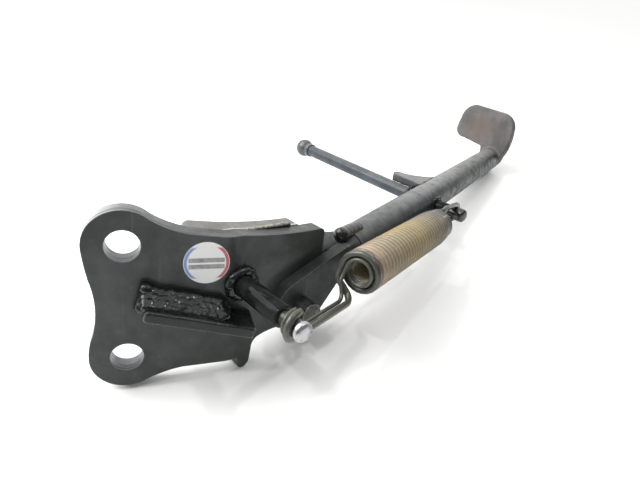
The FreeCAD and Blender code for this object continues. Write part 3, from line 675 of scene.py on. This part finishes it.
def skinned(name, mesh, rings):
    """A closed skin over the rings, as a mesh of its own."""
    count = len(rings[0])
    for near, far in zip(rings, rings[1:]):
        for turn in range(count):
            beside = (turn + 1) % count
            mesh.faces.new((near[turn], near[beside], far[beside], far[turn]))
    mesh.faces.new(list(reversed(rings[0])))
    mesh.faces.new(rings[-1])
    result = bpy.data.meshes.new(name)
    mesh.to_mesh(result)
    mesh.free()
    return result


def swept_wire(name, path, radius):
    """A round wire along a path, with slightly domed cut ends."""
    dome, tip = radius * 0.25, radius * 0.72
    mesh = bmesh.new()
    side = (path[1] - path[0]).normalized().orthogonal().normalized()
    rings = []
    last = len(path) - 1
    for number, point in enumerate(path):
        ahead = (path[min(number + 1, last)] - path[max(number - 1, 0)]).normalized()
        side = (side - ahead * side.dot(ahead)).normalized()
        above = ahead.cross(side)
        if number == 0:
            rings.append(ring_of(mesh, point - ahead * dome, side, above, tip, WIRE_SIDES))
        rings.append(ring_of(mesh, point, side, above, radius, WIRE_SIDES))
        if number == last:
            rings.append(ring_of(mesh, point + ahead * dome, side, above, tip, WIRE_SIDES))
    return skinned(name, mesh, rings)


def lathe(name, place, direction, profile):
    """A turned piece, from (distance along its axis, radius) pairs in millimetres."""
    side = direction.orthogonal().normalized()
    other = direction.cross(side)
    mesh = bmesh.new()
    rings = []
    for distance, radius in profile:
        centre = place + direction * distance * MM
        rings.append(ring_of(mesh, centre, side, other, radius * MM, TURNED_SIDES))
    return skinned(name, mesh, rings)


def crisp(piece):
    """Keeps the shoulders of a turned piece sharp."""
    piece.data.set_sharp_from_angle(angle=CRISP_ANGLE)


def spring_posts():
    """Both posts that the springs hook on: stem, shoulder, neck and a worn, domed head."""
    material = turned_post("bracket_post", POST_BASE, PIVOT_AXIS, BRACKET_POST_SHOULDER, 0.42)
    mesh = lathe("bracket_post", POST_BASE, PIVOT_AXIS, BRACKET_POST)
    crisp(new_piece("bracket_post", mesh, material, "bracket", "bracket_spring_post"))
    root = leg_point(CROSSING)
    material = turned_post("leg_post", root, PIVOT_AXIS, LEG_POST_SHOULDER, 0.08)
    mesh = lathe("leg_post", root, PIVOT_AXIS, LEG_POST)
    crisp(new_piece("leg_post", mesh, material, "leg", "leg_spring_post"))


# ------------------------------------------------------------------ springs
def helix(start, end, radius, first_angle, last_angle, turns):
    """The coils' centre line, from one angle down to another, a little narrower at the far end."""
    swing = first_angle - last_angle + 360 * turns
    steps = int(swing / COIL_STEP)
    points = []
    for step in range(steps + 1):
        distance = start + (end - start) * step / steps
        closeness = min(max(1 - (end - distance) / TAPER_LENGTH, 0), 1)
        wide = radius - COIL_TAPER * closeness * closeness * (3 - 2 * closeness)
        angle = math.radians(first_angle - swing * step / steps)
        points.append(coil_point(distance, wide * math.cos(angle), wide * math.sin(angle)))
    return points


def near_hook(loop, post, lead):
    """The hook round the bracket's post: from its tip over the neck, round and under it, to its lead."""
    reach = lead - post
    along = reach.dot(SPRING_RUN)
    slope = math.atan2(reach.z, along) + math.asin(loop / math.hypot(along, reach.z))
    corners = [
        (NEAR_TIP, loop),
        (-loop, loop),
        (-loop, -loop * (1 + math.sin(slope)) / math.cos(slope)),
        (along, reach.z),
    ]
    return [post + SPRING_RUN * x + UP * y for x, y in corners]


def far_hook(loop, distance):
    """The hook round the leg's post, from over it to its tip below."""
    post = leg_point(CROSSING) + PIVOT_AXIS * distance
    return [
        post + ALONG_TONGUE * loop + UP * loop,
        post + ALONG_TONGUE * loop - UP * loop,
        post - ALONG_TONGUE * FAR_TIP - UP * loop,
    ]


def hook_spring(name, material, node, wire, coil, near_place, bends, far_place):
    """Closed coils of real wire between two hooks, with two bends on the way to the near hook."""
    snug = NECK_RADIUS + HOOK_GAP + wire
    loop = snug / SPRING_RUN.dot(ALONG_TONGUE)
    start, end = COIL_START + wire, COIL_START + COIL_LENGTH - wire
    turns = int((end - start) / (2 * wire) - 0.18)
    coils = helix(start, end, coil, *COIL_TURN, turns)
    rise, lead = [coil_point(COIL_START + along * MM, front * MM, up * MM) for along, front, up in bends]
    post = POST_BASE + PIVOT_AXIS * near_place
    near_part = rounded_path(near_hook(loop, post, lead) + [rise, coils[0]],
                             [loop, loop, LEAD_BEND, RISE_BEND])
    top = coil_point(end + wire, 0, coil - COIL_TAPER)
    lead_out = coil_point(end + coil, 0, coil - 0.6 * MM)
    far_part = rounded_path([coils[-1], top, lead_out] + far_hook(snug, far_place),
                            [0.3 * coil, 0.4 * coil, snug, snug])
    path = near_part[:-1] + coils + far_part[1:]
    return new_piece(name, swept_wire(name, path, wire), material, "springs", node)


# ------------------------------------------------------------------ welds
def weld_bead(name, spots, material, body, node, rounds=1, uneven=0.1):
    """A bead laid as overlapping pools of metal, given as (centre, run direction, radius)."""
    chance = random.Random(name + str(SEED))
    pools = bmesh.new()
    for centre, run, radius in spots:
        turn = run.to_track_quat("Z", "Y").to_matrix().to_4x4()
        size = radius * chance.uniform(1 - uneven, 1 + uneven)
        squash = Matrix.Diagonal((size, size, size * POOL_LENGTH, 1))
        tilt = Matrix.Rotation(math.radians(chance.uniform(-POOL_TILT, POOL_TILT)), 4, "X")
        nudge = Vector([chance.uniform(-uneven, uneven) * radius for _ in range(3)])
        place = Matrix.Translation(centre + nudge) @ turn @ tilt @ squash
        bmesh.ops.create_icosphere(pools, subdivisions=3, radius=1.0, matrix=place)
    mesh = bpy.data.meshes.new(name)
    pools.to_mesh(mesh)
    pools.free()
    return new_piece(name, remeshed(mesh, SKIN_GRAIN, rounds), material, body, node)


def straight_spots(start, end, radius, pitch=1.2 * MM):
    run = end - start
    count = max(2, int(run.length / pitch))
    return [(start + run * (step / count), run.normalized(), radius) for step in range(count + 1)]


def ring_spots(centre, axis, ring_radius, radius, pitch=1.1 * MM):
    side = axis.orthogonal().normalized()
    other = axis.cross(side)
    count = int(2 * math.pi * ring_radius / pitch)
    spots = []
    for step in range(count):
        angle = 2 * math.pi * step / count
        outward = side * math.cos(angle) + other * math.sin(angle)
        spots.append((centre + outward * ring_radius, axis.cross(outward), radius))
    return spots


def bar_weld(material):
    """Four rows along the stop bar's upper side, a tall lump at its left end and a blob at the right."""
    along = Vector((math.cos(BAR_SLOPE), 0, math.sin(BAR_SLOPE)))
    across = Vector((-math.sin(BAR_SLOPE), 0, math.cos(BAR_SLOPE)))
    out = Vector((0, -1, 0))
    spots = []
    for reach, rise, radius in BAR_WELD_ROWS:
        start = BAR_CORNER + out * reach * MM + across * rise * MM
        spots += straight_spots(start, start + along * BAR_WELD_LENGTH, radius * MM, BAR_WELD_PITCH)
    lump_top = BAR_CORNER + across * 4.2 * MM + out * 1.8 * MM
    lump_foot = BAR_CORNER - across * 5.0 * MM + out * 1.5 * MM
    spots += straight_spots(lump_top, lump_foot, 3.0 * MM)
    end = BAR_CORNER + along * 31.5 * MM
    spots += straight_spots(end + across * 2 * MM + out * 2 * MM, end + out * 8 * MM, 2.8 * MM)
    weld_bead("stop_bar_bead", spots, material, "bracket", "stop_bar_weld", 10)


def fork_weld(material):
    """A thin ring where the fork's neck meets the tube, under a smooth lump."""
    neck = leg_point(LEG_NECK)
    dome = neck + UP * FORK_LUMP_LIFT
    spots = ring_spots(neck, LEG_DIRECTION, LEG_RADIUS - 0.6 * MM, 1.2 * MM)
    near_end = dome - LEG_DIRECTION * 7 * MM + UP * 1.2 * MM
    far_end = dome + LEG_DIRECTION * 8 * MM
    spots += straight_spots(near_end, far_end, FORK_LUMP_RADIUS, 0.7 * MM)
    weld_bead("fork_bead", spots, material, "leg", "fork_weld", 16, 0.02)


def all_welds(material):
    bar_weld(material)
    low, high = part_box("doubler_seam_weld")
    seam_start = Vector((low.x + 1.0 * MM, low.y + 1.2 * MM, high.z - 2.2 * MM))
    seam_end = Vector((high.x - 1.5 * MM, high.y - 1.5 * MM, low.z + 1.2 * MM))
    weld_bead("doubler_seam_bead", straight_spots(seam_start, seam_end, SEAM_RADIUS), dusty_weld(),
              "bracket", "doubler_seam_weld")
    base = POST_BASE + PIVOT_AXIS * 0.8 * MM
    weld_bead("post_base_bead", ring_spots(base, PIVOT_AXIS, POST_BASE_RING, POST_BASE_BEAD), material,
              "bracket", "post_base_weld", 6)
    fork_weld(material)
    rods = (("tang", TANG_DIRECTION, TANG_RADIUS), ("leg_post", PIVOT_AXIS, LEG_POST_RADIUS))
    for name, direction, radius in rods:
        root = leg_point(CROSSING) + direction * (LEG_RADIUS + 0.4 * MM)
        weld_bead(name + "_bead", ring_spots(root, direction, radius + 0.7 * MM, ROD_BEAD), material,
                  "leg", name + "_weld")


# ------------------------------------------------------------------ pieces softened from the CAD solids
def softened(node, name, material, body, voxel=0.7 * MM, rounds=6):
    """A cast or forged version of a CAD solid, with its corners rounded over."""
    mesh = remeshed(NODES[node].data.copy(), voxel, rounds)
    return new_piece(name, mesh, material, body, node)


def paint_nodes(materials):
    """Gives each CAD node that stays its material."""
    for name, material in materials.items():
        slots = NODES[name].data.materials
        slots.clear()
        slots.append(material)


place_camera()
light_scene()
add_bench(white_bench())

WELD = glossy_weld()
BLACK = painted_steel("black_paint").data
FORK = painted_steel("fork_paint", (0.012, 0.015, 0.015), dusted_and_lit_share=0.06, coat=0.05, shine=0.25).data
paint_nodes({
    "mounting_plate": plate_paint(),
    "tongue_doubler": doubler_paint(),
    "pivot_bush": bare_metal("bush_steel", (0.3, 0.3, 0.3), (0.5, 0.5, 0.5), 0.4),
    "inspection_label": printed_label(),
    "fork_cheek_front": FORK,
    "fork_cheek_rear": FORK,
    "leg_tube": tube_paint(),
    "tang_rod": painted_steel("tang_paint", (0.02, 0.027, 0.034), dusted_and_lit_share=0.25, shine=0.3).data,
    "tang_ball": painted_steel("ball_paint", (0.04, 0.043, 0.048), dusted_and_lit_share=0.2,
                               roughness=(0.2, 0.35)).data,
    "pivot_bolt": bare_metal("bolt_steel", (0.1, 0.1, 0.095), (0.4, 0.4, 0.38), 0.35),
    "pivot_washer": bare_metal("zinc_plate", (0.42, 0.41, 0.31), (0.62, 0.61, 0.52), 0.38),
})
softened("stop_bar", "stop_bar_paint", bar_paint(), "bracket", 0.45 * MM, 12)
softened("foot_plate", "foot_pad", foot_paint(), "leg")
softened("fork_crown", "fork_neck", FORK, "leg")
softened("tang_gusset", "tang_web", BLACK, "leg", 0.5 * MM, 4)
all_welds(WELD)
spring_posts()
hook_spring("outer_coil", spring_steel("outer_wire", OUTER_STOPS, OUTER_COIL, OUTER_WIRE),
            "outer_spring", OUTER_WIRE, OUTER_COIL, OUTER_HOOK, OUTER_BENDS,
            OUTER_FAR_HOOK)
hook_spring("inner_coil", spring_steel("inner_wire", INNER_STOPS_AND_BORE_LIGHT, INNER_COIL, INNER_WIRE),
            "inner_spring", INNER_WIRE, INNER_COIL, INNER_HOOK, INNER_BENDS,
            INNER_FAR_HOOK)
